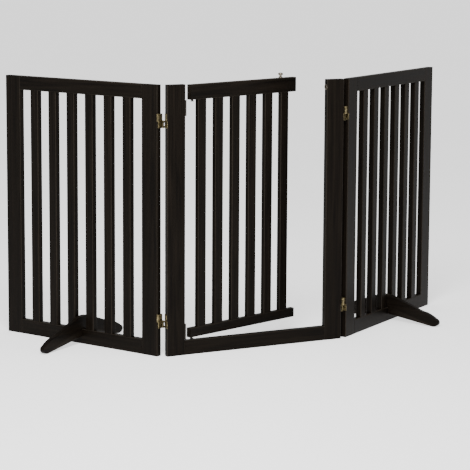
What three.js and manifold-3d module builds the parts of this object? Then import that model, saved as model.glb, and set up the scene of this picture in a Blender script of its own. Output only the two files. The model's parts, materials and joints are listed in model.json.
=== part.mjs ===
// Free-standing folding pet gate: two slatted side panels, a U-shaped centre frame with a
// swinging slatted door, double-action brass hinges that fold both ways, a slide-bolt latch
// and two lift-off support feet.
//
// Millimetres, +Z up. The origin is the middle of the centre frame's sill, on the floor.
// +X runs along the centre frame towards the latch, +Y is the side the door is opened to.
import * as THREE from "three";
import { mergeVertices } from "three/addons/utils/BufferGeometryUtils.js";
import Module from "manifold-3d";

const wasm = await Module();
wasm.setup();

// ---------------------------------------------------------------- driving dimensions
// Panels and centre frame
const PANEL_WIDTH = 554;
const PANEL_HEIGHT = 762;
const BOARD = 18; // thickness of stiles and rails
const STILE_WIDTH = 54.5;
const TOP_RAIL = 40.7; // height of a side panel's top rail
const BOTTOM_RAIL = 43.1; // height of a side panel's bottom rail
const SILL = 41.5; // height of the centre frame's bottom rail
const SLATS = 6;
const SLAT_WIDTH = 28;
const SLAT_THICKNESS = BOARD; // flush with the rails
const EASED_EDGE = 2; // radius on the long edges of every board

// Stub tenons and the gap that glue fills
const RAIL_TENON = { length: 14, thickness: 8, shoulder: 7 };
const SLAT_TENON = { length: 10, thickness: 7, shoulder: 4 };
const FIT = 0.3; // clearance on every face of a joint
const OVERCUT = 1; // how far a cut runs past the face that it opens
const OVERLAP = 1; // how far joined blocks run into each other

// Door
const DOOR_GAP_HINGE = 12; // closed door to the hinge-side stile
const DOOR_GAP_LATCH = 18; // closed door to the latch-side stile
const DOOR_GAP_SILL = 7;
const DOOR_TOP_DROP = 1; // door top below the frame's top
const DOOR_BOARD = 16; // thickness of the door's rails
const DOOR_TOP_RAIL = 42.4;
const DOOR_BOTTOM_RAIL = 27.3;
const DOOR_SLAT_WIDTH = 30.4;
const DOOR_SLAT_THICKNESS = 14;
const DOOR_OVERHANG = 29.5; // rail beyond the outer slats

// Double-action hinges between the panels
const HINGE_GAP = 8.6; // between two panels' edges when the gate is straight
const HINGE_HEIGHT = 40;
const HINGE_INSET = 100; // hinge centre to the panel's top or bottom
const BARREL_RADIUS = 3;
const HINGE_PIN = { radius: 1.25, head: 2.2, headHeight: 0.8 };
const LEAF_THICKNESS = 1.5;
const LEAF_LIP = 1.5; // how far a leaf's free edge stands out of the board's face
const LEAF_KNUCKLE = 5.4; // length of each of a barrel's two outer knuckles
const HINGE_PLAY = 0.4; // between parts that turn or slide past each other

// Door pivots: a bracket on the stile, and a headed pin through its arm into the rail
const PIVOT_INSET = 12; // pivot axis from the rail's end
const BRACKET_THICKNESS = 3.5;
const BRACKET_ARM = 3; // thickness of the arm under the rail
const BRACKET_WIDTH = 15;
const BRACKET_HEIGHT = 44;
const PIVOT_PIN_RADIUS = 3;
const PIVOT_HEAD = { radius: 5, height: 1.6 };
const PIVOT_DEPTH = 15; // pin inside the rail

// Latch: a bolt in the door's top rail, worked by a knob that slides in a slot
const BOLT_RADIUS = 3.5;
const BOLT_TRAVEL = 30;
const BOLT_BEHIND_KNOB = 15;
const BOLT_RECESS = 1; // bolt tip inside the rail's end when drawn back
const BOLT_CHAMFER = 1.2;
const KNOB_INSET = 57; // knob from the rail's end when drawn back
const KNOB = {
  stem: { radius: 2.5 },
  collar: { radius: 6, height: 3 },
  neck: { radius: 3.5, height: 6 },
  cap: { radius: 7.5, height: 5.5 },
};
// The cap's outline, as shares of its radius and its height
const KNOB_CROWN = [
  [1, 0.33],
  [0.85, 0.75],
  [0.4, 1],
];
const STRIKE_FLANGE = { radius: 8, thickness: 1 };
const STRIKE_PLAY = 0.8; // bolt to ferrule
const STRIKE_WALL = 1.7;
const STRIKE_DEPTH = 14;

// Support feet: half outlines are measured out from the panel's middle plane
const FOOT_THICKNESS = 15;
const FOOT_HEIGHT = 82;
const FOOT_NOSE = { centre: 160, height: 13, reach: 19 };
const FOOT_PAD_START = 82; // the flat pad under each arm starts this far out
const FOOT_ARCH = 22; // height of the underside beside the slot
const FOOT_CROWN = { half: 35, height: 75 }; // where the crown's curve meets the slope
const FOOT_WAIST = { out: 107, height: 49 }; // where the slope flattens
const FOOT_SHOULDER = { out: 138, height: 40 }; // where the arm turns down to its nose
const FOOT_SWELL = { out: 2, height: 1 }; // of the curve from the shoulder to the nose
const FOOT_DIP = 2; // rise of the curve between the waist and the shoulder
const FOOT_FIT = 0.5; // slot to bottom rail, each side

// How the gate stands, in radians
const LEFT_FOLD = THREE.MathUtils.degToRad(60.4);
const RIGHT_FOLD = THREE.MathUtils.degToRad(32.3);
const DOOR_AJAR = THREE.MathUtils.degToRad(18);

// Facets on round pieces
const ROUND = 20;
const SMALL_ROUND = 12;

// ---------------------------------------------------------------- derived sizes
const OPENING = PANEL_WIDTH - 2 * STILE_WIDTH;
const DOOR_LENGTH = OPENING - DOOR_GAP_HINGE - DOOR_GAP_LATCH;
const DOOR_BOTTOM = SILL + DOOR_GAP_SILL;
const DOOR_TOP = PANEL_HEIGHT - DOOR_TOP_DROP;
const LATCH_HEIGHT = DOOR_TOP - DOOR_TOP_RAIL / 2;
const HINGE_AXIS = BOARD / 2 + BARREL_RADIUS; // barrels stand proud of both faces
const HINGE_X = PANEL_WIDTH / 2 + HINGE_GAP / 2;
const PIVOT_REACH = DOOR_GAP_HINGE + PIVOT_INSET; // pivot axis from the stile
const PIVOT_HOLE = PIVOT_PIN_RADIUS + FIT;
const STRIKE_BORE = BOLT_RADIUS + STRIKE_PLAY;

// ---------------------------------------------------------------- finishes
const finish = (color, roughness, metalness = 0) =>
  new THREE.MeshStandardMaterial({ color, roughness, metalness });
const ESPRESSO = finish(0x211d19, 0.5);
const BRASS = finish(0xb08a45, 0.35, 1);
const BRONZE = finish(0x3a332c, 0.45, 0.8);
const PEWTER = finish(0x6e6455, 0.4, 0.9);

// ---------------------------------------------------------------- solid helpers
/** A solid from a closed three.js geometry. */
function solid(geometry) {
  const bare = geometry.clone();
  bare.deleteAttribute("normal");
  bare.deleteAttribute("uv");
  const merged = mergeVertices(bare, 1e-4);
  return new wasm.Manifold(
    new wasm.Mesh({
      numProp: 3,
      vertProperties: merged.attributes.position.array,
      triVerts: new Uint32Array(merged.index.array),
    }),
  );
}

/** A named mesh from a solid. */
function piece(name, body, material) {
  const { vertProperties, triVerts } = body.getMesh();
  const geometry = new THREE.BufferGeometry();
  geometry.setAttribute("position", new THREE.BufferAttribute(vertProperties, 3));
  geometry.setIndex(new THREE.BufferAttribute(triVerts, 1));
  const flat = geometry.toNonIndexed();
  flat.computeVertexNormals();
  const mesh = new THREE.Mesh(flat, material);
  mesh.name = name;
  return mesh;
}

const joined = (bodies) => bodies.reduce((whole, body) => whole.add(body));
const cutBy = (body, cutters) => cutters.reduce((rest, cutter) => rest.subtract(cutter), body);

/** A plain block between two corners. */
function block([x0, y0, z0], [x1, y1, z1]) {
  const geometry = new THREE.BoxGeometry(x1 - x0, y1 - y0, z1 - z0);
  geometry.translate((x0 + x1) / 2, (y0 + y1) / 2, (z0 + z1) / 2);
  return solid(geometry);
}

/** A rectangle with rounded corners, as a section for a board. */
function easedSection(a0, b0, a1, b1, radius) {
  const shape = new THREE.Shape();
  shape.absarc(a1 - radius, b0 + radius, radius, -Math.PI / 2, 0);
  shape.absarc(a1 - radius, b1 - radius, radius, 0, Math.PI / 2);
  shape.absarc(a0 + radius, b1 - radius, radius, Math.PI / 2, Math.PI);
  shape.absarc(a0 + radius, b0 + radius, radius, Math.PI, 1.5 * Math.PI);
  return shape;
}

const extruded = (shape, depth) =>
  new THREE.ExtrudeGeometry(shape, { depth, bevelEnabled: false, curveSegments: 2 });

/** Turns an outline drawn in X and Y, with its thickness along Z, to Y, Z and X. */
const LAY_ALONG_X = new THREE.Matrix4().makeBasis(
  new THREE.Vector3(0, 1, 0),
  new THREE.Vector3(0, 0, 1),
  new THREE.Vector3(1, 0, 0),
);

/** A board between two corners that runs up, with its long edges eased. */
function uprightBoard([x0, y0, z0], [x1, y1, z1]) {
  const geometry = extruded(easedSection(x0, y0, x1, y1, EASED_EDGE), z1 - z0);
  return solid(geometry.translate(0, 0, z0));
}

/** A board between two corners that runs along X, with its long edges eased. */
function levelBoard([x0, y0, z0], [x1, y1, z1]) {
  const geometry = extruded(easedSection(y0, z0, y1, z1, EASED_EDGE), x1 - x0);
  return solid(geometry.applyMatrix4(LAY_ALONG_X).translate(x0, 0, 0));
}

/** A round bar standing on z0 at (x, y). */
function uprightBar(radius, x, y, z0, z1, sides = ROUND) {
  const geometry = new THREE.CylinderGeometry(radius, radius, z1 - z0, sides);
  return solid(geometry.rotateX(Math.PI / 2).translate(x, y, (z0 + z1) / 2));
}

/** A round bar along X at (y, z). */
function levelBar(radius, y, z, x0, x1, sides = ROUND) {
  const geometry = new THREE.CylinderGeometry(radius, radius, x1 - x0, sides);
  return solid(geometry.rotateZ(Math.PI / 2).translate((x0 + x1) / 2, y, z));
}

/** The surface of a turned piece from [radius, height] points, its axis along Z. */
function turnedShape(profile, sides = ROUND) {
  const points = profile.map(([radius, height]) => new THREE.Vector2(radius, height));
  return new THREE.LatheGeometry(points, sides).rotateX(Math.PI / 2);
}

// ---------------------------------------------------------------- woodwork
/** A stub tenon on a rail's end, or the mortise for it when grown by `grow`. */
function railTenon(xEnd, direction, z0, z1, grow = 0) {
  const { length, thickness, shoulder } = RAIL_TENON;
  const root = xEnd - direction * length * 0.5; // starts inside the rail, to join it
  const tip = xEnd + direction * (length + grow);
  return block(
    [Math.min(root, tip), -thickness / 2 - grow, z0 + shoulder - grow],
    [Math.max(root, tip), thickness / 2 + grow, z1 - shoulder + grow],
  );
}

/** A stub tenon on a slat's end, or the mortise for it when grown by `grow`. */
function slatTenon(x0, width, zEnd, direction, grow = 0) {
  const { length, thickness, shoulder } = SLAT_TENON;
  const root = zEnd - direction * length * 0.5;
  const tip = zEnd + direction * (length + grow);
  return block(
    [x0 + shoulder - grow, -thickness / 2 - grow, Math.min(root, tip)],
    [x0 + width - shoulder + grow, thickness / 2 + grow, Math.max(root, tip)],
  );
}

/** A stile, with a mortise for each rail that ends at `face`, and any further cuts. */
function stile(name, x0, face, railSpans, cuts = []) {
  const x1 = x0 + STILE_WIDTH;
  const inward = face === x1 ? -1 : 1; // from the face into the stile
  const body = uprightBoard([x0, -BOARD / 2, 0], [x1, BOARD / 2, PANEL_HEIGHT]);
  const mortises = railSpans.map(([z0, z1]) => railTenon(face, inward, z0, z1, FIT));
  return piece(name, cutBy(body, [...mortises, ...cuts]), ESPRESSO);
}

/** A rail between two stiles, with mortises for the slats on the side that `slatSide` gives. */
function rail(name, x0, x1, z0, z1, slatEdges = [], slatSide = 1) {
  const body = joined([
    levelBoard([x0 + FIT, -BOARD / 2, z0], [x1 - FIT, BOARD / 2, z1]),
    railTenon(x0 + FIT, -1, z0, z1),
    railTenon(x1 - FIT, 1, z0, z1),
  ]);
  const face = slatSide > 0 ? z1 : z0;
  const mortises = slatEdges.map((x) => slatTenon(x, SLAT_WIDTH, face, -slatSide, FIT));
  return piece(name, cutBy(body, mortises), ESPRESSO);
}

/** A slat between two rails, with a tenon at each end. */
function slat(name, x0, width, thickness, z0, z1) {
  const depth = thickness / 2;
  const body = joined([
    uprightBoard([x0, -depth, z0 + FIT], [x0 + width, depth, z1 - FIT]),
    slatTenon(x0, width, z0 + FIT, -1),
    slatTenon(x0, width, z1 - FIT, 1),
  ]);
  return piece(name, body, ESPRESSO);
}

/** Left edges of slats of one width, spread evenly from `first` to `last`. */
function slatEdges(first, last) {
  return Array.from({ length: SLATS }, (_, i) => first + ((last - first) * i) / (SLATS - 1));
}

/** A slatted side panel whose left edge is at x0. */
function sidePanel(name, x0) {
  const inside = x0 + STILE_WIDTH;
  const outside = x0 + PANEL_WIDTH - STILE_WIDTH;
  const spans = [
    [0, BOTTOM_RAIL],
    [PANEL_HEIGHT - TOP_RAIL, PANEL_HEIGHT],
  ];
  const gap = (OPENING - SLATS * SLAT_WIDTH) / (SLATS + 1);
  const edges = slatEdges(inside + gap, outside - gap - SLAT_WIDTH);
  return [
    stile(`${name}_left_stile`, x0, inside, spans),
    stile(`${name}_right_stile`, outside, outside, spans),
    rail(`${name}_bottom_rail`, inside, outside, ...spans[0], edges, 1),
    rail(`${name}_top_rail`, inside, outside, ...spans[1], edges, -1),
    ...edges.map((x, i) =>
      slat(`${name}_slat_${i + 1}`, x, SLAT_WIDTH, SLAT_THICKNESS, spans[0][1], spans[1][0]),
    ),
  ];
}

/** The U-shaped centre frame: two stiles and a sill, with the strike's hole. */
function centreFrame() {
  const half = PANEL_WIDTH / 2;
  const inside = half - STILE_WIDTH;
  const strikeHole = levelBar(
    STRIKE_BORE + STRIKE_WALL + FIT,
    0,
    LATCH_HEIGHT,
    inside - OVERCUT,
    inside + STRIKE_DEPTH + OVERCUT,
  );
  return [
    stile("frame_left_stile", -half, -inside, [[0, SILL]]),
    stile("frame_right_stile", inside, inside, [[0, SILL]], [strikeHole]),
    rail("frame_sill", -inside, inside, 0, SILL),
  ];
}

/** The door's rails and slats, in a frame whose Z axis is the pivot axis. */
function door() {
  const x0 = -PIVOT_INSET;
  const x1 = x0 + DOOR_LENGTH;
  const bottomTop = DOOR_BOTTOM + DOOR_BOTTOM_RAIL;
  const topBottom = DOOR_TOP - DOOR_TOP_RAIL;
  const edges = slatEdges(x0 + DOOR_OVERHANG, x1 - DOOR_OVERHANG - DOOR_SLAT_WIDTH);
  const depth = DOOR_BOARD / 2;
  const mortises = (face, direction) =>
    edges.map((x) => slatTenon(x, DOOR_SLAT_WIDTH, face, direction, FIT));
  const pivotHole = (z) => uprightBar(PIVOT_HOLE, 0, 0, z - OVERCUT, z + PIVOT_DEPTH + OVERCUT);

  const knobX = x1 - KNOB_INSET;
  const boltEnd = knobX - BOLT_BEHIND_KNOB - FIT;
  const slotHalf = KNOB.stem.radius + HINGE_PLAY;
  const slotEnd = knobX + BOLT_TRAVEL;
  const slotTop = DOOR_TOP + OVERCUT;
  const slot = joined([
    block([knobX, -slotHalf, LATCH_HEIGHT], [slotEnd, slotHalf, slotTop]),
    uprightBar(slotHalf, knobX, 0, LATCH_HEIGHT, slotTop, SMALL_ROUND),
    uprightBar(slotHalf, slotEnd, 0, LATCH_HEIGHT, slotTop, SMALL_ROUND),
  ]);
  const bore = levelBar(BOLT_RADIUS + HINGE_PLAY, 0, LATCH_HEIGHT, boltEnd, x1 + OVERCUT);

  const top = levelBoard([x0, -depth, topBottom], [x1, depth, DOOR_TOP]);
  const bottom = levelBoard([x0, -depth, DOOR_BOTTOM], [x1, depth, bottomTop]);
  const topCuts = [...mortises(topBottom, 1), pivotHole(topBottom), slot, bore];
  const bottomCuts = [...mortises(bottomTop, -1), pivotHole(DOOR_BOTTOM)];
  return [
    piece("door_top_rail", cutBy(top, topCuts), ESPRESSO),
    piece("door_bottom_rail", cutBy(bottom, bottomCuts), ESPRESSO),
    ...edges.map((x, i) =>
      slat(`door_slat_${i + 1}`, x, DOOR_SLAT_WIDTH, DOOR_SLAT_THICKNESS, bottomTop, topBottom),
    ),
  ];
}

// ---------------------------------------------------------------- door pivots
/** A bracket whose arm lies under a rail and whose plate runs up (1) or down (-1) the stile. */
function pivotBracket(name, railBottom, direction) {
  const armTop = railBottom - HINGE_PLAY;
  const armBottom = armTop - BRACKET_ARM;
  const wall = -PIVOT_REACH + FIT;
  const half = BRACKET_WIDTH / 2;
  const plateEnd = direction > 0 ? armBottom + BRACKET_HEIGHT : armTop - BRACKET_HEIGHT;
  const body = joined([
    block(
      [wall, -half, Math.min(armBottom, plateEnd)],
      [wall + BRACKET_THICKNESS, half, Math.max(armTop, plateEnd)],
    ),
    block([wall, -half, armBottom], [0, half, armTop]),
    uprightBar(half, 0, 0, armBottom, armTop),
  ]);
  const hole = uprightBar(PIVOT_HOLE, 0, 0, armBottom - OVERCUT, armTop + OVERCUT);
  return piece(name, body.subtract(hole), BRONZE);
}

/** The headed pin that stands in a bracket's arm and runs up into a rail. */
function pivotPin(name, railBottom) {
  const shoulder = railBottom - HINGE_PLAY - BRACKET_ARM - FIT;
  const foot = shoulder - PIVOT_HEAD.height;
  const tip = railBottom + PIVOT_DEPTH - FIT;
  const shape = turnedShape([
    [0, foot],
    [PIVOT_HEAD.radius, foot],
    [PIVOT_HEAD.radius, shoulder],
    [PIVOT_PIN_RADIUS, shoulder],
    [PIVOT_PIN_RADIUS, tip],
    [0, tip],
  ]);
  return piece(name, solid(shape), BRONZE);
}

// ---------------------------------------------------------------- latch
/** The bolt and its knob, in the door's frame, drawn back. */
function latchBolt() {
  const tip = -PIVOT_INSET + DOOR_LENGTH - BOLT_RECESS;
  const knobX = -PIVOT_INSET + DOOR_LENGTH - KNOB_INSET;
  const tail = knobX - BOLT_BEHIND_KNOB;
  const rod = turnedShape([
    [0, tail],
    [BOLT_RADIUS, tail],
    [BOLT_RADIUS, tip - BOLT_CHAMFER],
    [BOLT_RADIUS - BOLT_CHAMFER, tip],
    [0, tip],
  ]);
  rod.rotateY(Math.PI / 2).translate(0, 0, LATCH_HEIGHT);
  const { stem, collar, neck, cap } = KNOB;
  const stemEnd = LATCH_HEIGHT - BOLT_RADIUS / 2;
  const socket = uprightBar(stem.radius + FIT, knobX, 0, stemEnd - FIT, DOOR_TOP);

  const seat = DOOR_TOP + HINGE_PLAY;
  const collarTop = seat + collar.height;
  const capBottom = collarTop + neck.height;
  const top = capBottom + cap.height;
  const knob = turnedShape([
    [0, stemEnd],
    [stem.radius, stemEnd],
    [stem.radius, seat],
    [collar.radius, seat],
    [collar.radius, (seat + collarTop) / 2],
    [neck.radius, collarTop],
    [neck.radius, capBottom],
    ...KNOB_CROWN.map(([out, up]) => [cap.radius * out, capBottom + cap.height * up]),
    [0, top],
  ]);
  knob.translate(knobX, 0, 0);
  return [
    piece("latch_bolt", solid(rod).subtract(socket), PEWTER),
    piece("latch_knob", solid(knob), PEWTER),
  ];
}

/** The flanged ferrule that lines the bolt's hole in the latch-side stile. */
function strikeFerrule() {
  const face = PANEL_WIDTH / 2 - STILE_WIDTH - FIT;
  const { radius, thickness } = STRIKE_FLANGE;
  const end = face + STRIKE_DEPTH;
  const body = joined([
    levelBar(radius, 0, LATCH_HEIGHT, face - thickness, face),
    levelBar(STRIKE_BORE + STRIKE_WALL, 0, LATCH_HEIGHT, face - thickness, end),
  ]);
  const bore = levelBar(
    STRIKE_BORE,
    0,
    LATCH_HEIGHT,
    face - thickness - OVERCUT,
    end + OVERCUT,
  );
  return piece("strike_ferrule", body.subtract(bore), PEWTER);
}

// ---------------------------------------------------------------- double-action hinges
// Hinge frame: X across the gap, Y through the boards, Z = 0 at the hinge's middle. The left
// leaf's barrel is at the front in the upper half, and the right leaf's is at the back in the
// lower half. A link in the middle of the gap joins the two barrels, so that either panel can
// fold to the back about the back pin or to the front about the front pin.
const FRONT = -1;
const BACK = 1;
const HALF_START = HINGE_PLAY / 2;
const HALF_END = HINGE_HEIGHT / 2;
const LINK_START = HALF_START + LEAF_KNUCKLE + HINGE_PLAY;
const LINK_END = HALF_END - LEAF_KNUCKLE - HINGE_PLAY;
const LEAF_OUTER = HINGE_GAP / 2 - FIT;
const LEAF_INNER = LEAF_OUTER - LEAF_THICKNESS;
const LEAF_CORE = BOARD / 2 - BARREL_RADIUS; // half the width of a leaf's full-height plate
const BARREL_CLEAR = BARREL_RADIUS + HINGE_PLAY;

/** Two distances on the side that `sign` gives, lowest first. */
const onSide = (sign, a, b) => (sign > 0 ? [a, b] : [-b, -a]);

/** The heights of a barrel: the upper half at the front, the lower half at the back. */
const barrelSpan = (face, start, end) => onSide(-face, start, end);

/** One leaf, on the left (-1) or the right (1) of the gap. */
function hingeLeaf(name, side) {
  const face = side === -1 ? FRONT : BACK;
  const [x0, x1] = onSide(side, LEAF_INNER, LEAF_OUTER);
  const [web0, web1] = onSide(side, 0, LEAF_OUTER);
  const [z0, z1] = barrelSpan(face, HALF_START, HALF_END);
  const [tab0, tab1] = onSide(face, LEAF_CORE - OVERLAP, HINGE_AXIS);
  const [lip0, lip1] = onSide(-face, LEAF_CORE - OVERLAP, BOARD / 2 + LEAF_LIP);
  const solids = [
    block([x0, -LEAF_CORE, -HALF_END], [x1, LEAF_CORE, HALF_END]),
    block([x0, tab0, z0], [x1, tab1, z1]),
    block([x0, lip0, z0], [x1, lip1, z1]),
  ];
  const [web2, web3] = onSide(face, HINGE_AXIS - LEAF_THICKNESS, HINGE_AXIS);
  for (const start of [HALF_START, HALF_END - LEAF_KNUCKLE]) {
    const [k0, k1] = barrelSpan(face, start, start + LEAF_KNUCKLE);
    solids.push(block([web0, web2, k0], [web1, web3, k1]));
    solids.push(uprightBar(BARREL_RADIUS, 0, face * HINGE_AXIS, k0, k1, SMALL_ROUND));
  }
  const [n0, n1] = barrelSpan(face, LINK_START - HINGE_PLAY, LINK_END + HINGE_PLAY);
  const [c0, c1] = onSide(face, HINGE_AXIS - BARREL_CLEAR, HINGE_AXIS + OVERCUT);
  const notch = block([x0 - OVERCUT, c0, n0], [x1 + OVERCUT, c1, n1]);
  const hole = uprightBar(
    HINGE_PIN.radius + FIT,
    0,
    face * HINGE_AXIS,
    z0 - OVERCUT,
    z1 + OVERCUT,
    SMALL_ROUND,
  );
  return piece(name, cutBy(joined(solids), [notch, hole]), BRASS);
}

/** The link between the front and the back barrel. */
function hingeLink(name) {
  const half = LEAF_THICKNESS / 2;
  const reach = HINGE_AXIS - BARREL_CLEAR;
  const solids = [block([-half, -reach, -HALF_END], [half, reach, HALF_END])];
  const holes = [];
  for (const face of [FRONT, BACK]) {
    const [y0, y1] = onSide(face, reach - OVERLAP, HINGE_AXIS);
    const [k0, k1] = barrelSpan(face, LINK_START, LINK_END);
    const axis = face * HINGE_AXIS;
    solids.push(block([-half, y0, k0], [half, y1, k1]));
    solids.push(uprightBar(BARREL_RADIUS, 0, axis, k0, k1, SMALL_ROUND));
    const [h0, h1] = [k0 - OVERCUT, k1 + OVERCUT];
    holes.push(uprightBar(HINGE_PIN.radius + FIT, 0, axis, h0, h1, SMALL_ROUND));
  }
  return piece(name, cutBy(joined(solids), holes), BRASS);
}

/** The pin of the front or the back barrel, headed at both ends. */
function hingePin(name, face) {
  const [z0, z1] = barrelSpan(face, HALF_START - FIT, HALF_END + FIT);
  const { radius, head, headHeight } = HINGE_PIN;
  const shape = turnedShape(
    [
      [0, z0 - headHeight],
      [head, z0 - headHeight],
      [head, z0],
      [radius, z0],
      [radius, z1],
      [head, z1],
      [head, z1 + headHeight],
      [0, z1 + headHeight],
    ],
    SMALL_ROUND,
  );
  return piece(name, solid(shape.translate(0, face * HINGE_AXIS, 0)), BRASS);
}

// ---------------------------------------------------------------- support feet
/** A foot across a panel: an arm to the front and one to the back, and a slot for the rail. */
function foot(name) {
  const { centre, height, reach } = FOOT_NOSE;
  const slope = (FOOT_CROWN.height - FOOT_WAIST.height) / (FOOT_WAIST.out - FOOT_CROWN.half);
  const arm = new THREE.Path();
  arm.moveTo(FOOT_PAD_START, 0);
  arm.absellipse(centre, height, reach, height, -Math.PI / 2, Math.PI / 3);
  arm.quadraticCurveTo(
    (centre + reach / 2 + FOOT_SHOULDER.out) / 2 + FOOT_SWELL.out,
    (2 * height + FOOT_SHOULDER.height) / 2 + FOOT_SWELL.height,
    FOOT_SHOULDER.out,
    FOOT_SHOULDER.height,
  );
  arm.quadraticCurveTo(
    (FOOT_WAIST.out + FOOT_SHOULDER.out) / 2,
    FOOT_SHOULDER.height + FOOT_DIP,
    FOOT_WAIST.out,
    FOOT_WAIST.height,
  );
  arm.lineTo(FOOT_CROWN.half, FOOT_CROWN.height);
  arm.quadraticCurveTo(
    FOOT_CROWN.half / 2,
    FOOT_CROWN.height + (slope * FOOT_CROWN.half) / 2,
    0,
    FOOT_HEIGHT,
  );
  const right = arm.getPoints(6);
  const left = right.slice(0, -1).reverse();
  const half = BOARD / 2 + FOOT_FIT;
  const slotTop = BOTTOM_RAIL + FOOT_FIT;
  const outline = new THREE.Shape([
    ...right,
    ...left.map(({ x, y }) => new THREE.Vector2(-x, y)),
    new THREE.Vector2(-half, FOOT_ARCH),
    new THREE.Vector2(-half, slotTop),
    new THREE.Vector2(half, slotTop),
    new THREE.Vector2(half, FOOT_ARCH),
  ]);
  const shape = extruded(outline, FOOT_THICKNESS).applyMatrix4(LAY_ALONG_X);
  return piece(name, solid(shape.translate(-FOOT_THICKNESS / 2, 0, 0)), ESPRESSO);
}

// ---------------------------------------------------------------- assembly
/** A group at (x, y, z), turned about Z, that holds the pieces given. */
function placed(x, y, z, angle, pieces) {
  const holder = new THREE.Group();
  holder.position.set(x, y, z);
  holder.rotation.z = angle;
  holder.add(...pieces);
  return holder;
}

/** Pieces of one gap's top and bottom hinge, in a frame whose Z axis is the back barrel. */
function hingesAt(make) {
  const levels = { top: PANEL_HEIGHT - HINGE_INSET, bottom: HINGE_INSET };
  return Object.entries(levels).map(([level, z]) => placed(0, -HINGE_AXIS, z, 0, make(level)));
}

const pivotX = -PANEL_WIDTH / 2 + STILE_WIDTH + PIVOT_REACH;
const topRailBottom = DOOR_TOP - DOOR_TOP_RAIL;
const panelOffset = HINGE_GAP / 2; // a panel's edge from the barrels' line
const panelMiddle = panelOffset + PANEL_WIDTH / 2;

// The centre frame, and what stands in line with it
const frame = new THREE.Group();
frame.add(
  ...centreFrame(),
  strikeFerrule(),
  placed(pivotX, 0, 0, 0, [
    pivotBracket("door_pivot_top_bracket", topRailBottom, -1),
    pivotBracket("door_pivot_bottom_bracket", DOOR_BOTTOM, 1),
    pivotPin("door_pivot_top_pin", topRailBottom),
    pivotPin("door_pivot_bottom_pin", DOOR_BOTTOM),
  ]),
  placed(-HINGE_X, HINGE_AXIS, 0, 0, hingesAt((level) => [
    hingeLeaf(`left_${level}_hinge_frame_leaf`, 1),
    hingePin(`left_${level}_hinge_back_pin`, BACK),
  ])),
  placed(HINGE_X, HINGE_AXIS, 0, 0, hingesAt((level) => [
    hingeLeaf(`right_${level}_hinge_frame_leaf`, -1),
    hingePin(`right_${level}_hinge_front_pin`, FRONT),
    hingeLink(`right_${level}_hinge_link`),
  ])),
);

// The left panel and its hinges' links, folded back about the back pins
const leftPanel = placed(-HINGE_X, HINGE_AXIS, 0, -LEFT_FOLD, [
  placed(0, -HINGE_AXIS, 0, 0, sidePanel("left_panel", -panelOffset - PANEL_WIDTH)),
  placed(-panelMiddle, -HINGE_AXIS, 0, 0, [foot("left_foot")]),
  ...hingesAt((level) => [
    hingeLeaf(`left_${level}_hinge_panel_leaf`, -1),
    hingePin(`left_${level}_hinge_front_pin`, FRONT),
    hingeLink(`left_${level}_hinge_link`),
  ]),
]);

// The right panel, folded back about its hinges' back pins
const rightPanel = placed(HINGE_X, HINGE_AXIS, 0, RIGHT_FOLD, [
  placed(0, -HINGE_AXIS, 0, 0, sidePanel("right_panel", panelOffset)),
  placed(panelMiddle, -HINGE_AXIS, 0, 0, [foot("right_foot")]),
  ...hingesAt((level) => [
    hingeLeaf(`right_${level}_hinge_panel_leaf`, 1),
    hingePin(`right_${level}_hinge_back_pin`, BACK),
  ]),
]);

// The door, standing ajar on its pivots, with its latch bolt drawn back
const swungDoor = placed(pivotX, 0, 0, DOOR_AJAR, [...door(), ...latchBolt()]);

const gate = new THREE.Group();
gate.add(frame, leftPanel, rightPanel, swungDoor);

export default gate;
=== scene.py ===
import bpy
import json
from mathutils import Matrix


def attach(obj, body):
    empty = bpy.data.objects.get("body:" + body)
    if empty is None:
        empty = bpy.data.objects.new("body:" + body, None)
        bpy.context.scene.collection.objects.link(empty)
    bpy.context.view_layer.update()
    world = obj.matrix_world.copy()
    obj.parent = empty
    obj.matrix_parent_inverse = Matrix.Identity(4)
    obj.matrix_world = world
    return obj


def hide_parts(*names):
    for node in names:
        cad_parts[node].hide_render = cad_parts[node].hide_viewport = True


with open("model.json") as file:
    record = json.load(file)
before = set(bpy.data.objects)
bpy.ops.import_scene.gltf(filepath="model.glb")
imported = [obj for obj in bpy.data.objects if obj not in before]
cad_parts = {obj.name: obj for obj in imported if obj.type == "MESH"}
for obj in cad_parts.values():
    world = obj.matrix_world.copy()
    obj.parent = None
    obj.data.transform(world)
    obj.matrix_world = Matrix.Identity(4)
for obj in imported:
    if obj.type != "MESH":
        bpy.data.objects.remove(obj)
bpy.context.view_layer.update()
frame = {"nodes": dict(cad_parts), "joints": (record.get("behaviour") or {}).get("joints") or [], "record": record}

import json
import math
import random

import bmesh
import bpy
from mathutils import Matrix, Vector

MM = 0.001
EASED = 2.0 * MM  # radius on a board's long edges
END_EASED = 0.9 * MM  # on ends that show
FOOT_EASED = 1.6 * MM
ROUND = 48  # sides of turned pieces
FIT = 0.3 * MM  # clearance round pins and past their ends
PIVOT_HOLE = 3.3 * MM  # radius
BOLT_BORE = 4 * MM  # radius
SLOT_HALF = 2.9 * MM  # half the width of the knob's slot
FERRULE_BORE = 4.3 * MM  # radius
FERRULE_LIP = 2 * MM  # how far the flange stands out past the sleeve
JOINTS = {joint["name"]: joint for joint in frame["joints"]}


# ---------------------------------------------------------------- local frames
def local_frame(joint, degrees):
    """A frame whose Z axis is the joint's, turned about it, with z = 0 on the floor."""
    x, y, _ = JOINTS[joint]["pos_m"]
    return Matrix.Translation((x, y, 0)) @ Matrix.Rotation(math.radians(degrees), 4, "Z")


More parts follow.
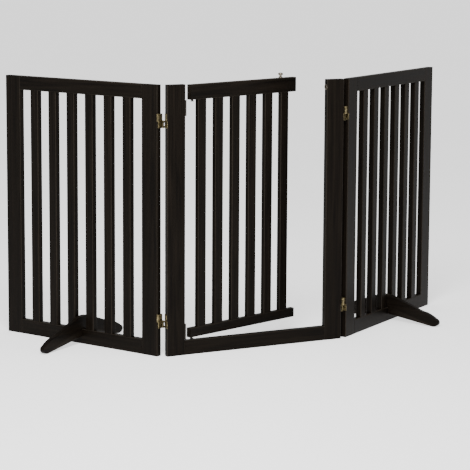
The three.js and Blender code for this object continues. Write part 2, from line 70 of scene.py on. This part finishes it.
LEFT_TURN = -JOINTS["left_back_pin"]["range_deg"][1]
RIGHT_TURN = -JOINTS["right_back_pin"]["range_deg"][0]
slide_x, slide_y, _ = JOINTS["latch_slide"]["axis"]
FRAMES = {
    "middle_frame": Matrix.Identity(4),
    "left_link": local_frame("left_back_pin", LEFT_TURN),
    "left_panel": local_frame("left_back_pin", LEFT_TURN),
    "left_foot": local_frame("left_back_pin", LEFT_TURN),
    "right_link": local_frame("right_back_pin", 0),
    "right_panel": local_frame("right_back_pin", RIGHT_TURN),
    "right_foot": local_frame("right_back_pin", RIGHT_TURN),
    "door": local_frame("door_swing", math.degrees(math.atan2(slide_y, slide_x))),
}
FRAMES["latch"] = FRAMES["door"]
BODY_OF = {
    node: body for body, nodes in frame["record"]["behaviour"]["bodies"].items() for node in nodes
}


def local_box(node, body=None):
    """Lowest and highest corner of a CAD node in a body's own frame."""
    inverse = FRAMES[body or BODY_OF[node]].inverted()
    points = [inverse @ v.co for v in frame["nodes"][node].data.vertices]
    low = Vector(min(p[i] for p in points) for i in range(3))
    high = Vector(max(p[i] for p in points) for i in range(3))
    return low, high


# ---------------------------------------------------------------- mesh helpers
def cube(bm, low, high):
    """A block between two corners; returns its edges."""
    made = bmesh.ops.create_cube(bm, size=1)["verts"]
    middle = (low + high) / 2
    for v in made:
        v.co = Vector(middle[i] + v.co[i] * (high[i] - low[i]) for i in range(3))
    return list({e for v in made for e in v.link_edges})


def bevel(bm, edges, radius, segments):
    bmesh.ops.bevel(
        bm, geom=edges, offset=radius, segments=segments, profile=0.5, affect="EDGES"
    )


def block(bm, low, high, radius=0.3 * MM, segments=2):
    """A block with every edge eased."""
    bevel(bm, cube(bm, low, high), radius, segments)


def lathe(bm, profile, centre, axis="Z", sides=ROUND):
    """A turned solid from (radius, height) points that start and end on the axis."""
    turn = Matrix.Rotation(math.radians(90), 4, "Y") if axis == "X" else Matrix.Identity(4)
    place = Matrix.Translation(centre) @ turn
    rings = []
    for radius, height in profile:
        count = 1 if radius == 0 else sides
        angles = [2 * math.pi * i / sides for i in range(count)]
        rings.append(
            [
                bm.verts.new(place @ Vector((radius * math.cos(a), radius * math.sin(a), height)))
                for a in angles
            ]
        )
    for lower, upper in zip(rings, rings[1:]):
        for i in range(sides):
            j = (i + 1) % sides
            corners = [lower[i % len(lower)], lower[j % len(lower)]]
            corners += [upper[j % len(upper)], upper[i % len(upper)]]
            face = list(dict.fromkeys(corners))
            if len(face) > 2:
                bm.faces.new(face)


def tube(bm, outer, inner, start, end, centre, axis="Z", ease=0.25 * MM):
    """A ring with eased rims, as a turned closed loop."""
    loop = [(inner, start + ease), (inner + ease, start), (outer - ease, start)]
    loop += [(outer, start + ease), (outer, end - ease), (outer - ease, end)]
    loop += [(inner + ease, end), (inner, end - ease), (inner, start + ease)]
    lathe(bm, loop, centre, axis)
    bmesh.ops.remove_doubles(bm, verts=bm.verts, dist=1e-7)


def new_object(name, bm, place=None):
    """An object from a bmesh, with its faces turned out."""
    bmesh.ops.recalc_face_normals(bm, faces=bm.faces)
    mesh = bpy.data.meshes.new(name)
    bm.to_mesh(mesh)
    bm.free()
    if place is not None:
        mesh.transform(place)
    made = bpy.data.objects.new(name, mesh)
    bpy.context.scene.collection.objects.link(made)
    return made


def apply_modifiers(piece):
    """Bakes a piece's modifiers into its mesh."""
    graph = bpy.context.evaluated_depsgraph_get()
    mesh = bpy.data.meshes.new_from_object(piece.evaluated_get(graph))
    piece.modifiers.clear()
    piece.data = mesh


def drill(piece, cutters):
    """Cuts each cutter out of a piece, then removes the cutters."""
    for cutter in cutters:
        cut = piece.modifiers.new("cut", "BOOLEAN")
        cut.operation = "DIFFERENCE"
        cut.solver = "EXACT"
        cut.object = cutter
    apply_modifiers(piece)
    for cutter in cutters:
        bpy.data.objects.remove(cutter)


def smooth(piece, degrees=30):
    """Smooth shading that keeps flat faces flat."""
    piece.data.shade_smooth()
    piece.data.set_sharp_from_angle(angle=math.radians(degrees))
    weighted = piece.modifiers.new("weighted", "WEIGHTED_NORMAL")
    weighted.keep_sharp = True
    weighted.weight = 100
    apply_modifiers(piece)


def finish_piece(piece, body, node, material):
    """Places a finished piece on its body, in the stead of its CAD node."""
    smooth(piece)
    piece.data.materials.clear()
    piece.data.materials.append(material)
    piece.data.transform(FRAMES[body])
    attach(piece, body)
    if node:
        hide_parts(node)


# ---------------------------------------------------------------- materials
def new_material(name):
    """A material, its node tree's links, its shader, and a function that adds a node."""
    material = bpy.data.materials.new(name)
    material.use_nodes = True
    tree = material.node_tree
    shader = tree.nodes["Principled BSDF"]

    def add(kind, **values):
        node = tree.nodes.new(kind)
        for key, value in values.items():
            if hasattr(node, key):
                setattr(node, key, value)
            else:
                node.inputs[key.replace("_", " ")].default_value = value
        return node

    return material, tree.links, shader, add


def ramp(add, links, source, low, high, dark, light):
    """A colour ramp from dark at low to light at high."""
    node = add("ShaderNodeValToRGB")
    node.color_ramp.elements[0].position = low
    node.color_ramp.elements[0].color = (*dark, 1)
    node.color_ramp.elements[1].position = high
    node.color_ramp.elements[1].color = (*light, 1)
    links.new(source, node.inputs["Fac"])
    return node


def mix(add, links, blend, factor, a, b):
    """A colour mix; each of factor, a and b is a number, a colour or an output to link."""
    node = add("ShaderNodeMix", data_type="RGBA", blend_type=blend)
    sockets = [node.inputs["Factor"]]
    sockets += [next(s for s in node.inputs if s.name == n and s.type == "RGBA") for n in "AB"]
    for socket, value in zip(sockets, (factor, a, b)):
        if isinstance(value, bpy.types.NodeSocket):
            links.new(value, socket)
        else:
            socket.default_value = value
    return next(s for s in node.outputs if s.type == "RGBA")


def wood_material(name, dark, light, seed):
    """Espresso-stained wood: long fine grain, open pores, and arrises lightened partly for rubbed wear and partly
    as a painted highlight.
    """
    material, links, shader, add = new_material(name)
    grain = add("ShaderNodeAttribute", attribute_name="grain")

    def stretched(along, across, detail, roughness=0.55, distortion=0.0):
        mapping = add("ShaderNodeMapping")
        mapping.inputs["Scale"].default_value = (along, across, across)
        mapping.inputs["Location"].default_value = (seed, seed * 0.37, seed * 0.71)
        noise = add("ShaderNodeTexNoise", Scale=1.0, Detail=detail, Roughness=roughness)
        noise.inputs["Distortion"].default_value = distortion
        links.new(grain.outputs["Vector"], mapping.inputs["Vector"])
        links.new(mapping.outputs["Vector"], noise.inputs["Vector"])
        return noise.outputs["Fac"]

    figure = stretched(5, 130, 5, distortion=0.5)
    tone = stretched(1.3, 9, 2)
    pores = stretched(28, 1100, 2, 0.5)
    colour = ramp(add, links, figure, 0.34, 0.7, dark, light)
    shade = ramp(add, links, tone, 0.3, 0.7, (0.7, 0.69, 0.68), (1, 1, 1))
    tinted = mix(add, links, "MULTIPLY", 1.0, colour.outputs["Color"], shade.outputs["Color"])
    pit = ramp(add, links, pores, 0.34, 0.46, (0.62, 0.6, 0.58), (1, 1, 1))
    pored = mix(add, links, "MULTIPLY", 0.6, tinted, pit.outputs["Color"])
    # the eased arrises are mixed towards a paler brown: partly rubbed wear, partly a painted highlight along each
    # edge
    arris_wear_and_highlight_attr = add("ShaderNodeAttribute", attribute_name="arris")
    arris_wear_and_highlight_amount = add("ShaderNodeMath", operation="MULTIPLY")
    links.new(arris_wear_and_highlight_attr.outputs["Fac"], arris_wear_and_highlight_amount.inputs[0])
    links.new(tone, arris_wear_and_highlight_amount.inputs[1])
    arris_wear_and_highlight = mix(add, links, "MIX", arris_wear_and_highlight_amount.outputs["Value"], pored, (0.03, 0.024, 0.018, 1))
    links.new(arris_wear_and_highlight, shader.inputs["Base Color"])

    gloss = add("ShaderNodeMapRange")
    gloss.inputs["To Min"].default_value = 0.36
    gloss.inputs["To Max"].default_value = 0.54
    links.new(figure, gloss.inputs["Value"])
    links.new(gloss.outputs["Result"], shader.inputs["Roughness"])
    fine = add("ShaderNodeBump", Strength=0.22, Distance=0.00022)
    coarse = add("ShaderNodeBump", Strength=0.16, Distance=0.0005)
    links.new(pores, fine.inputs["Height"])
    links.new(figure, coarse.inputs["Height"])
    links.new(fine.outputs["Normal"], coarse.inputs["Normal"])
    links.new(coarse.outputs["Normal"], shader.inputs["Normal"])
    shader.inputs["Specular IOR Level"].default_value = 0.045
    return material


def metal_material(name, dark, light, rough, metallic=1.0):
    """A metal with soft patches of tarnish and fine wear."""
    scale = 260.0  # patches a few millimetres wide
    material, links, shader, add = new_material(name)
    place = add("ShaderNodeTexCoord")
    patches = add("ShaderNodeTexNoise", Scale=scale, Detail=4.0, Roughness=0.6)
    specks = add("ShaderNodeTexNoise", Scale=scale * 9, Detail=3.0, Roughness=0.6)
    links.new(place.outputs["Object"], patches.inputs["Vector"])
    links.new(place.outputs["Object"], specks.inputs["Vector"])
    colour = ramp(add, links, patches.outputs["Fac"], 0.35, 0.68, dark, light)
    links.new(colour.outputs["Color"], shader.inputs["Base Color"])
    gloss = add("ShaderNodeMapRange")
    gloss.inputs["To Min"].default_value = rough - 0.07
    gloss.inputs["To Max"].default_value = rough + 0.12
    links.new(specks.outputs["Fac"], gloss.inputs["Value"])
    links.new(gloss.outputs["Result"], shader.inputs["Roughness"])
    relief = add("ShaderNodeBump", Strength=0.05, Distance=0.0002)
    links.new(specks.outputs["Fac"], relief.inputs["Height"])
    links.new(relief.outputs["Normal"], shader.inputs["Normal"])
    shader.inputs["Metallic"].default_value = metallic
    return material


WOOD = wood_material("espresso_wood", (0.0030, 0.0021, 0.0014), (0.0088, 0.0063, 0.0042), 3.1)
BRASS = metal_material("aged_brass", (0.035, 0.027, 0.013), (0.34, 0.28, 0.15), 0.36)
BRONZE = metal_material("dark_bronze", (0.014, 0.012, 0.01), (0.04, 0.034, 0.028), 0.42, 0.5)
PEWTER = metal_material("antique_pewter", (0.13, 0.11, 0.085), (0.36, 0.32, 0.26), 0.34)
SCREW = metal_material("screw_steel", (0.1, 0.09, 0.075), (0.26, 0.235, 0.2), 0.32)

# ---------------------------------------------------------------- woodwork
seeds = random.Random(41)
LENGTHWISE = {"X": 0, "Y": 1, "Z": 2}


def board_object(name, low, high, along, ease_ends):
    """A board with its long edges eased, and its ends too where they show."""
    bm = bmesh.new()
    axis = LENGTHWISE[along]
    edges = cube(bm, low, high)
    lengthwise = [
        e for e in edges if abs((e.verts[0].co - e.verts[1].co)[axis]) > 0.5 * (high - low)[axis]
    ]
    bevel(bm, lengthwise, EASED, 4)
    if ease_ends:
        rims = [
            e
            for e in bm.edges
            if all(abs(v.co[axis] - low[axis]) < 1e-6 for v in e.verts)
            or all(abs(v.co[axis] - high[axis]) < 1e-6 for v in e.verts)
        ]
        bevel(bm, rims, END_EASED, 2)
    return new_object(name, bm)


def mark_grain(piece, low, high, along):
    """Stores each point's place in its board, lengthwise first, and its nearness to an arris."""
    axis = LENGTHWISE[along]
    others = [i for i in range(3) if i != axis]
    shift = Vector(seeds.uniform(0, 30) for _ in range(3))
    mesh = piece.data
    for name, kind in (("grain", "FLOAT_VECTOR"), ("arris", "FLOAT")):
        mesh.attributes.new(name, kind, "POINT")
    grain, arris = mesh.attributes["grain"], mesh.attributes["arris"]
    for i, v in enumerate(mesh.vertices):
        place = Vector((v.co[axis], v.co[others[0]], v.co[others[1]])) + shift
        grain.data[i].vector = place
        # the arris value marks the eased edges, where the wood colour is lightened for rubbed wear and a painted
        # highlight
        gaps = [min(v.co[k] - low[k], high[k] - v.co[k]) / EASED for k in others]
        inner = max(0.0, min(1.0, gaps[0])), max(0.0, min(1.0, gaps[1]))
        arris.data[i].value = max(0.0, min(1.0, 4 * (1 - inner[0]) * (1 - inner[1])))


def board(node, along="Z", low=None, high=None, ease_ends=False, cutters=()):
    """The finished board for a CAD node, with its visible span given where tenons hide its ends."""
    full_low, full_high = local_box(node)
    axis = LENGTHWISE[along]
    if low is not None:
        full_low[axis] = low
        full_high[axis] = high
    piece = board_object(f"{node}_board", full_low, full_high, along, ease_ends)
    if cutters:
        drill(piece, cutters)
    mark_grain(piece, full_low, full_high, along)
    finish_piece(piece, BODY_OF[node], node, WOOD)


def cutter_rod(radius, start, end, centre, axis="Z"):
    """A round cutter."""
    bm = bmesh.new()
    lathe(bm, [(0, start), (radius, start), (radius, end), (0, end)], centre, axis)
    return new_object("cutter", bm)


def slatted_panel(side):
    """A side panel's boards: stiles, rails and slats, in the panel's own frame."""
    names = {part: f"{side}_panel_{part}" for part in ("left_stile", "right_stile")}
    inside = local_box(names["left_stile"])[1].x
    outside = local_box(names["right_stile"])[0].x
    for name in names.values():
        board(name, ease_ends=True)
    top, bottom = f"{side}_panel_top_rail", f"{side}_panel_bottom_rail"
    for name in (top, bottom):
        board(name, "X", inside, outside)
    start, end = local_box(bottom)[1].z, local_box(top)[0].z
    for node in sorted(n for n in BODY_OF if n.startswith(f"{side}_panel_slat_")):
        board(node, "Z", start, end)


def frame_and_door():
    """The centre frame's and the door's boards, with the holes that show."""
    bolt_low, bolt_high = local_box("latch_bolt")
    bolt_z = (bolt_low.z + bolt_high.z) / 2
    ferrule_low, ferrule_high = local_box("strike_ferrule")
    strike = cutter_rod(
        (ferrule_high.z - ferrule_low.z) / 2 - FERRULE_LIP + FIT,
        ferrule_low.x - MM,
        ferrule_high.x + MM,
        Vector((0, 0, bolt_z)),
        "X",
    )
    board("frame_left_stile", ease_ends=True)
    board("frame_right_stile", ease_ends=True, cutters=[strike])
    inside = local_box("frame_left_stile")[1].x
    outside = local_box("frame_right_stile")[0].x
    board("frame_sill", "X", inside, outside)

    axis_point = Vector((0, 0, 0))
    travel = JOINTS["latch_slide"]["range_m"][1]
    top_low, top_high = local_box("door_top_rail")
    _, top_pin_high = local_box("door_pivot_top_pin", "door")
    bore = cutter_rod(BOLT_BORE, bolt_low.x - FIT, top_high.x + MM, Vector((0, 0, bolt_z)), "X")
    knob_low, knob_high = local_box("latch_knob")
    knob_x = (knob_low.x + knob_high.x) / 2
    bm = bmesh.new()
    cube(
        bm,
        Vector((knob_x, -SLOT_HALF, bolt_z)),
        Vector((knob_x + travel, SLOT_HALF, top_high.z + MM)),
    )
    slot = new_object("cutter", bm)
    # the round ends rise a little higher than the slot, so that no two faces coincide
    slot_ends = [
        cutter_rod(SLOT_HALF, bolt_z, top_high.z + 1.1 * MM, Vector((x, 0, 0)))
        for x in (knob_x, knob_x + travel)
    ]
    top_hole = cutter_rod(PIVOT_HOLE, top_low.z - MM, top_pin_high.z + FIT, axis_point)
    board("door_top_rail", "X", ease_ends=True, cutters=[bore, slot, *slot_ends, top_hole])
    bottom_low, bottom_high = local_box("door_bottom_rail")
    _, bottom_pin_high = local_box("door_pivot_bottom_pin", "door")
    bottom_hole = cutter_rod(PIVOT_HOLE, bottom_low.z - MM, bottom_pin_high.z + FIT, axis_point)
    board("door_bottom_rail", "X", ease_ends=True, cutters=[bottom_hole])
    for node in sorted(n for n in BODY_OF if n.startswith("door_slat_")):
        board(node, "Z", bottom_high.z, top_low.z)


def refined_foot(node):
    """A foot from its CAD outline, with every edge eased."""
    body = BODY_OF[node]
    bm = bmesh.new()
    bm.from_mesh(frame["nodes"][node].data)
    bmesh.ops.transform(bm, matrix=FRAMES[body].inverted(), verts=bm.verts)
    bmesh.ops.remove_doubles(bm, verts=bm.verts, dist=1e-6)
    bmesh.ops.dissolve_limit(
        bm, angle_limit=math.radians(1), verts=bm.verts, edges=bm.edges, delimit=set()
    )
    rims = [
        e for e in bm.edges if len(e.link_faces) == 2 and e.calc_face_angle() > math.radians(60)
    ]
    low = Vector(min(v.co[i] for v in bm.verts) for i in range(3))
    high = Vector(max(v.co[i] for v in bm.verts) for i in range(3))
    bevel(bm, rims, FOOT_EASED, 3)
    piece = new_object(f"{node}_shaped", bm)
    mark_grain(piece, low, high, "Y")
    finish_piece(piece, body, node, WOOD)


# ---------------------------------------------------------------- hinges
BARREL = 3.0 * MM
PLATE = 1.5 * MM
PIN = 1.25 * MM
PIN_HOLE = PIN + FIT
PIN_HEAD, PIN_HEAD_HEIGHT = 2.2 * MM, 0.8 * MM
LEAF_INNER, LEAF_OUTER = 2.5 * MM, 4.0 * MM  # a leaf's faces, from the gap's centre line
LEAF_KNUCKLE = 5.4 * MM  # height of each of a leaf's two knuckles
LEAF_START = 0.2 * MM  # from the hinge's middle to the first of them
LINK_START, LINK_END = 6.0 * MM, 5.8 * MM  # the link's knuckle, from the middle and from the end


def span(face, start, end):
    """Heights in a hinge's upper half for the front barrel, in its lower half for the back one."""
    return (start, end) if face < 0 else (-end, -start)


def ordered(a, b):
    return (a, b) if a < b else (b, a)


def screw_head(bm, centre, side, radius):
    """A countersunk head, just proud of a plate that faces along X."""
    rise = 0.35 * MM * side
    profile = [(0, -0.3 * MM * side), (radius, -0.3 * MM * side), (radius, rise * 0.4)]
    profile += [(radius * 0.8, rise), (radius * 0.22, rise), (0, 0)]
    lathe(bm, profile, centre, "X", 24)


def hinge_sizes(side, level):
    """A hinge's middle height, half its height, and how far each pin is from its centre."""
    low, high = local_box(f"{side}_{level}_hinge_link")
    middle = (low.z + high.z) / 2
    half = (high.z - low.z) / 2
    front, back = (JOINTS[f"{side}_{end}_pin"]["pos_m"] for end in ("front", "back"))
    axis = math.hypot(front[0] - back[0], front[1] - back[1]) / 2
    return middle, half, axis


def hinge_frame(node):
    """The frame of a hinge piece: the gap's centre line, turned with what the piece is fixed to."""
    side = node.split("_")[0]
    x, y, _ = JOINTS[f"{side}_back_pin"]["pos_m"]
    turns = {"middle_frame": 0, "right_link": 0, "right_panel": RIGHT_TURN}
    turn = turns.get(BODY_OF[node], LEFT_TURN)
    place = Matrix.Translation((x, y, 0)) @ Matrix.Rotation(math.radians(turn), 4, "Z")
    return place @ Matrix.Translation((0, -y, 0))


def place_hinge_piece(bm, node, middle):
    """Puts a hinge piece at its height and in its gap, and finishes it in brass."""
    body = BODY_OF[node]
    in_row = hinge_frame(node) @ Matrix.Translation((0, 0, middle))
    piece = new_object(f"{node}_shaped", bm, FRAMES[body].inverted() @ in_row)
    finish_piece(piece, body, node, BRASS)


def hinge_leaf(node, side_sign, middle, half, axis):
    """A leaf: its plate, knuckles with their pin hole, and screws."""
    face = side_sign  # the left leaf's barrel is at the front, the right leaf's at the back
    x0, x1 = ordered(side_sign * LEAF_INNER, side_sign * LEAF_OUTER)
    start, end = LEAF_START, half
    core = axis - 2 * BARREL
    bm = bmesh.new()
    block(bm, Vector((x0, -core, -half)), Vector((x1, core, half)))
    z0, z1 = span(face, start, end)
    y0, y1 = ordered(-face * (core - MM), -face * (axis - BARREL + 1.5 * MM))
    block(bm, Vector((x0, y0, z0)), Vector((x1, y1, z1)))
    for first in (start, end - LEAF_KNUCKLE):
        k0, k1 = span(face, first, first + LEAF_KNUCKLE)
        y0, y1 = ordered(face * (core - MM), face * axis)
        block(bm, Vector((x0, y0, k0)), Vector((x1, y1, k1)))
        tube(bm, BARREL, PIN_HOLE, k0, k1, Vector((0, face * axis, 0)))
    for z in (-half * 0.7, 0, half * 0.7):
        screw_head(bm, Vector((side_sign * LEAF_INNER, 0, z)), -side_sign, 1.9 * MM)
    place_hinge_piece(bm, node, middle)


def hinge_link(node, middle, half, axis):
    """The link: its plate, and a knuckle on the front and the back barrel."""
    bm = bmesh.new()
    thick = PLATE / 2
    reach = axis - BARREL - 0.4 * MM
    block(bm, Vector((-thick, -reach, -half)), Vector((thick, reach, half)))
    for face in (-1, 1):
        k0, k1 = span(face, LINK_START, half - LINK_END)
        y0, y1 = ordered(face * (reach - MM), face * (axis - PIN_HOLE - 0.3 * MM))
        block(bm, Vector((-thick, y0, k0)), Vector((thick, y1, k1)))
        tube(bm, BARREL, PIN_HOLE, k0, k1, Vector((0, face * axis, 0)))
    place_hinge_piece(bm, node, middle)


def hinge_pin(node, face, middle, half, axis):
    """A pin with a rounded head at each end."""
    bm = bmesh.new()
    z0, z1 = span(face, -0.1 * MM, half + FIT)
    head, height = PIN_HEAD, PIN_HEAD_HEIGHT
    profile = [(0, z0 - height), (head * 0.7, z0 - height), (head, z0 - height * 0.4)]
    profile += [(head, z0), (PIN, z0), (PIN, z1), (head, z1), (head, z1 + height * 0.4)]
    profile += [(head * 0.7, z1 + height), (0, z1 + height)]
    lathe(bm, profile, Vector((0, face * axis, 0)))
    place_hinge_piece(bm, node, middle)


def hinges():
    """Every hinge's leaves, link and pins."""
    for side in ("left", "right"):
        for level in ("top", "bottom"):
            stem = f"{side}_{level}_hinge"
            middle, half, axis = hinge_sizes(side, level)
            left_leaf = "panel_leaf" if side == "left" else "frame_leaf"
            right_leaf = "frame_leaf" if side == "left" else "panel_leaf"
            hinge_leaf(f"{stem}_{left_leaf}", -1, middle, half, axis)
            hinge_leaf(f"{stem}_{right_leaf}", 1, middle, half, axis)
            hinge_link(f"{stem}_link", middle, half, axis)
            hinge_pin(f"{stem}_front_pin", -1, middle, half, axis)
            hinge_pin(f"{stem}_back_pin", 1, middle, half, axis)


# ---------------------------------------------------------------- pivots and latch
def pivot(level, direction):
    """A door pivot: its bracket with two screws, and its headed pin."""
    node = f"door_pivot_{level}_bracket"
    low, high = local_box(node)
    axis = Vector(JOINTS["door_swing"]["pos_m"])
    half = (high.y - low.y) / 2
    thick, arm = 3.5 * MM, 3.0 * MM
    arm_low = low.z if direction > 0 else high.z - arm
    bm = bmesh.new()
    block(bm, low, Vector((low.x + thick, high.y, high.z)), 0.5 * MM, 3)
    arm_high = arm_low + arm
    centre = Vector((axis.x, 0, 0))
    block(bm, Vector((low.x, -half, arm_low)), Vector((axis.x, half, arm_high)), 0.4 * MM, 2)
    tube(bm, half, PIVOT_HOLE, arm_low, arm_high, centre, ease=0.4 * MM)
    bracket = new_object(f"{node}_shaped", bm)
    drill(bracket, [cutter_rod(PIVOT_HOLE, arm_low - MM, arm_high + MM, centre)])
    finish_piece(bracket, "middle_frame", node, BRONZE)
    screws = bmesh.new()
    plate_middle = (low.z + high.z) / 2 + direction * 2 * MM
    for offset in (-11 * MM, 11 * MM):
        place = Vector((low.x + thick, 0, plate_middle + offset))
        screw_head(screws, place, 1, 3.2 * MM)
    heads = new_object(f"door_pivot_{level}_screws", screws)
    finish_piece(heads, "middle_frame", None, SCREW)

    pin_node = f"door_pivot_{level}_pin"
    pin_low, pin_high = local_box(pin_node)
    bm = bmesh.new()
    head, shank, shoulder = 5 * MM, 3 * MM, pin_low.z + 1.6 * MM
    profile = [(0, pin_low.z), (4.2 * MM, pin_low.z), (head, pin_low.z + 0.7 * MM)]
    profile += [(head, shoulder), (shank, shoulder), (shank, pin_high.z - MM)]
    profile += [(2.2 * MM, pin_high.z), (0, pin_high.z)]
    lathe(bm, profile, Vector((axis.x, axis.y, 0)))
    pin = new_object(f"{pin_node}_shaped", bm)
    finish_piece(pin, "middle_frame", pin_node, BRONZE)


def latch():
    """The bolt, its turned knob and the ferrule that it enters."""
    low, high = local_box("latch_bolt")
    middle = (low.z + high.z) / 2
    radius = (high.z - low.z) / 2
    bm = bmesh.new()
    profile = [(0, low.x), (radius, low.x), (radius, high.x - 1.2 * MM)]
    profile += [(radius * 0.86, high.x - 0.5 * MM), (radius * 0.6, high.x), (0, high.x)]
    lathe(bm, profile, Vector((0, 0, middle)), "X")
    bolt = new_object("latch_bolt_shaped", bm)
    finish_piece(bolt, "latch", "latch_bolt", PEWTER)

    low, high = local_box("latch_knob")
    centre = Vector(((low.x + high.x) / 2, 0, 0))
    seat = local_box("door_top_rail")[1].z + 0.4 * MM
    wide = (high.x - low.x) / 2
    # the collar and neck in millimetres above the seat
    collar = [(6, 0), (6, 1.4), (5.4, 2.3), (4.2, 3), (3.5, 3.8), (3.3, 5.4), (3.6, 7.2)]
    points = [(r * MM, seat + z * MM) for r, z in collar]
    cap_low = seat + 7.6 * MM
    cap_rise = high.z - cap_low
    # the cap as shares of its radius and height
    cap = [(0.72, 0), (0.93, 0.16), (1, 0.38), (0.97, 0.58)]
    cap += [(0.84, 0.78), (0.6, 0.92), (0.3, 0.98)]
    points += [(wide * r, cap_low + cap_rise * z) for r, z in cap]
    profile = [(0, low.z), (2.5 * MM, low.z), (2.5 * MM, seat), *points, (0, high.z)]
    bm = bmesh.new()
    lathe(bm, profile, centre)
    knob = new_object("latch_knob_shaped", bm)
    finish_piece(knob, "latch", "latch_knob", PEWTER)

    low, high = local_box("strike_ferrule")
    bm = bmesh.new()
    outer = (high.z - low.z) / 2
    centre = Vector((0, 0, (low.z + high.z) / 2))
    tube(bm, outer, FERRULE_BORE, low.x, low.x + MM, centre, "X")
    tube(bm, outer - FERRULE_LIP, FERRULE_BORE, low.x + 0.5 * MM, high.x, centre, "X")
    ferrule = new_object("strike_ferrule_shaped", bm)
    finish_piece(ferrule, "middle_frame", "strike_ferrule", PEWTER)


# ---------------------------------------------------------------- stage
def floor():
    """A flat white studio floor, lit from within."""
    bm = bmesh.new()
    bmesh.ops.create_grid(bm, x_segments=8, y_segments=8, size=30)
    ground = new_object("floor", bm)
    material, links, shader, add = new_material("pale_floor")
    place = add("ShaderNodeTexCoord")
    noise = add("ShaderNodeTexNoise", Scale=1.5, Detail=3.0)
    links.new(place.outputs["Object"], noise.inputs["Vector"])
    tint = ramp(add, links, noise.outputs["Fac"], 0.3, 0.7, (0.86, 0.86, 0.86), (0.89, 0.89, 0.89))
    links.new(tint.outputs["Color"], shader.inputs["Base Color"])
    shader.inputs["Roughness"].default_value = 0.9
    shader.inputs["Specular IOR Level"].default_value = 0.1
    shader.inputs["Emission Color"].default_value = (1, 1, 1, 1)
    shader.inputs["Emission Strength"].default_value = 0.9
    ground.data.materials.append(material)


def area_light(name, place, target, size, power):
    light = bpy.data.lights.new(name, "AREA")
    light.shape = "DISK"
    light.size = size
    light.energy = power
    holder = bpy.data.objects.new(name, light)
    holder.location = place
    holder.rotation_euler = (Vector(target) - Vector(place)).to_track_quat("-Z", "Y").to_euler()
    bpy.context.scene.collection.objects.link(holder)


def lighting():
    """Soft light from close above the front left, with a weak fill from the right."""
    world = bpy.data.worlds.new("studio")
    world.use_nodes = True
    backdrop = world.node_tree.nodes["Background"]
    backdrop.inputs["Color"].default_value = (1, 1, 1, 1)
    backdrop.inputs["Strength"].default_value = 0.75
    bpy.context.scene.world = world
    area_light("key", (-1.1, -1.5, 2.4), (-0.1, 0.1, 0.6), 1.2, 110)
    area_light("fill", (2.4, -1.6, 3.0), (0.5, 0.2, 0.6), 1.6, 16)


def camera():
    """A long lens from the front left, a little above the gate's top, as fitted to the photo."""
    lens_px, frame_px = 1769.5, 470
    place = (-2.2111, -4.4419, 1.1744)
    yaw, pitch, roll = math.radians(25.778), math.radians(7.4376), math.radians(0.31889)
    ahead = Vector(
        (math.sin(yaw) * math.cos(pitch), math.cos(yaw) * math.cos(pitch), -math.sin(pitch))
    )
    right = Vector((math.cos(yaw), -math.sin(yaw), 0))
    up = right.cross(ahead)
    right, up = (
        math.cos(roll) * right + math.sin(roll) * up,
        -math.sin(roll) * right + math.cos(roll) * up,
    )
    data = bpy.data.cameras.new("camera")
    data.sensor_width = 36
    data.lens = data.sensor_width * lens_px / frame_px
    data.shift_y = -0.15
    data.clip_end = 100
    eye = bpy.data.objects.new("camera", data)
    turn = Matrix((right, up, -ahead)).transposed().to_4x4()
    eye.matrix_world = Matrix.Translation(place) @ turn
    bpy.context.scene.collection.objects.link(eye)
    bpy.context.scene.camera = eye


camera()
floor()
lighting()
slatted_panel("left")
slatted_panel("right")
frame_and_door()
for foot in ("left_foot", "right_foot"):
    refined_foot(foot)
hinges()
pivot("top", -1)
pivot("bottom", 1)
latch()
